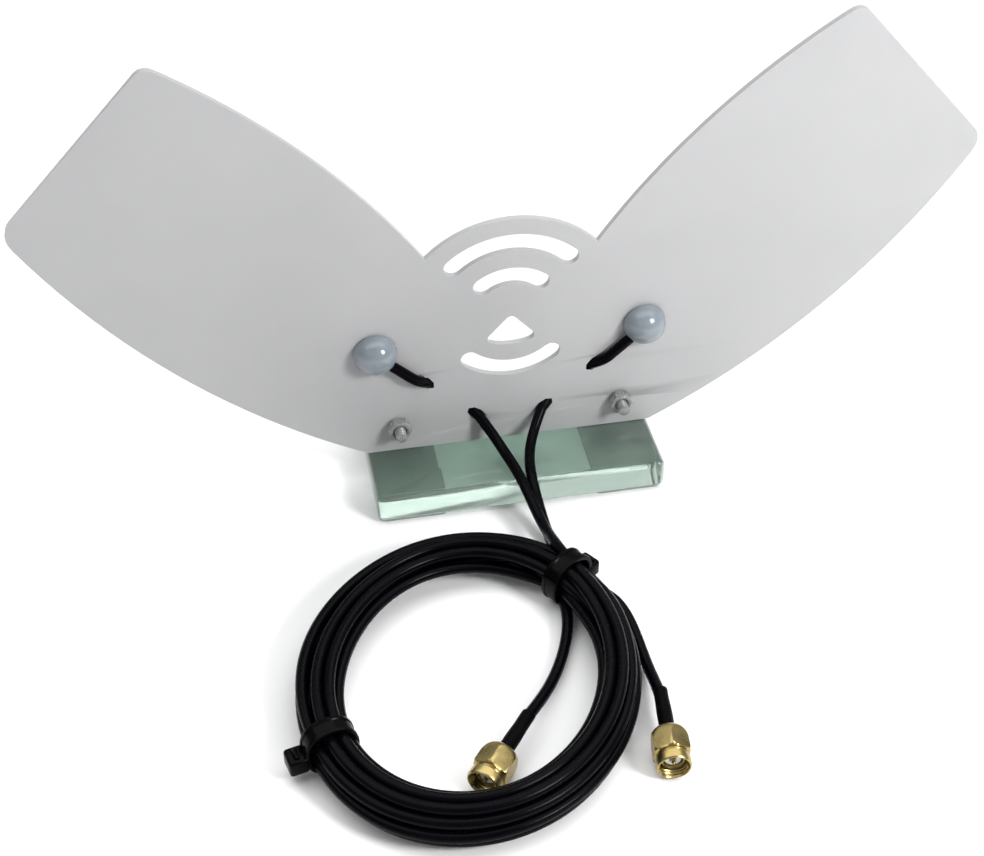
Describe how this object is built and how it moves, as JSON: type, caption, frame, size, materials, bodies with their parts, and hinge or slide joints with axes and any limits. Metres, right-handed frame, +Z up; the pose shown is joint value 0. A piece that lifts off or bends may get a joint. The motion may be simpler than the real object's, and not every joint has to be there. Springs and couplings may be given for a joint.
{
  "type": "flat twin-ear antenna",
  "caption": "Flat white plate antenna shaped like a pair of ears, upright on a glass slab, with coiled black coaxial leads ending in gold screw-on plugs.",
  "frame": {"origin": "on the resting surface, under the middle of the glass slab", "axes": "+X to the object's right seen from the front, +Y to the back, +Z up"},
  "size_m": [0.2344, 0.1431, 0.1244],
  "materials": {
    "white_board": "satin white coating",
    "foil": "thin white-coated foil",
    "green_glass": "polished, green tint",
    "grey_pad": "soft, matt",
    "bracket_plastic": "moulded grey",
    "clear_nylon": "translucent natural nylon",
    "cap_plastic": "glossy grey-blue",
    "solder": "bright solder",
    "cable_jacket": "black, soft gloss",
    "tie_plastic": "black nylon",
    "shrink_sleeve": "black, satin",
    "gold_plate": "gold plated",
    "insulator": "white",
    "spring_metal": "spring bronze"
  },
  "bodies": {
    "antenna": {"antenna_plate": "white_board", "left_radiator": "foil", "right_radiator": "foil", "glass_base": "green_glass", "left_base_pad": "grey_pad", "right_base_pad": "grey_pad", "left_bracket": "bracket_plastic", "right_bracket": "bracket_plastic", "left_screw": "clear_nylon", "right_screw": "clear_nylon", "left_nut": "clear_nylon", "right_nut": "clear_nylon", "left_solder_cap": "cap_plastic", "right_solder_cap": "cap_plastic", "left_solder_joint": "solder", "right_solder_joint": "solder", "left_held_cable": "cable_jacket", "right_held_cable": "cable_jacket", "left_lead": "cable_jacket", "right_lead": "cable_jacket", "left_tail": "cable_jacket", "right_tail": "cable_jacket", "cable_coil": "cable_jacket", "upper_tie": "tie_plastic", "lower_tie": "tie_plastic", "left_sleeve": "shrink_sleeve", "right_sleeve": "shrink_sleeve", "left_plug_body": "gold_plate", "right_plug_body": "gold_plate", "left_centre_pin": "gold_plate", "right_centre_pin": "gold_plate", "left_insulator": "insulator", "right_insulator": "insulator", "left_lock_ring": "spring_metal", "right_lock_ring": "spring_metal"},
    "left_nut_body": {"left_coupling_nut": "gold_plate"},
    "right_nut_body": {"right_coupling_nut": "gold_plate"}
  },
  "joints": [
    {"name": "left_nut_turn", "type": "hinge", "parent": "antenna", "child": "left_nut_body", "pos_m": [-0.02505, -0.10519, 0.0047], "axis": [-0.6293, -0.7771, 0], "continuous": true},
    {"name": "right_nut_turn", "type": "hinge", "parent": "antenna", "child": "right_nut_body", "pos_m": [0.01455, -0.10766, 0.0047], "axis": [-0.1305, -0.9914, 0], "continuous": true}
  ]
}
